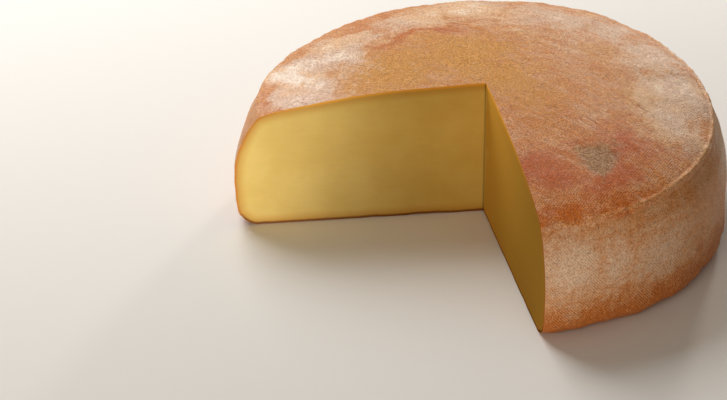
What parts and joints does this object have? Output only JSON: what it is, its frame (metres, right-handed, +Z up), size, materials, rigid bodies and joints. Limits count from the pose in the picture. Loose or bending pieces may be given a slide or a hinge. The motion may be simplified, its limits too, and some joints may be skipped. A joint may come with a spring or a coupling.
{
  "type": "cut raclette cheese wheel",
  "caption": "Round raclette cheese wheel with a wedge cut out of it: crowned mottled tan rind, bulging side and smooth yellow paste on the cut faces, lying on its flat base.",
  "frame": {"origin": "middle of the part's box on the flat base that it lies on", "axes": "+Z up along the wheel's axis, the wedge cut out towards -X -Y"},
  "size_m": [0.3046, 0.2986, 0.092],
  "materials": {
    "cheese": "dry washed rind, satin paste on the cut faces"
  },
  "bodies": {
    "root": {"cheese_wheel": "cheese"}
  },
  "joints": []
}
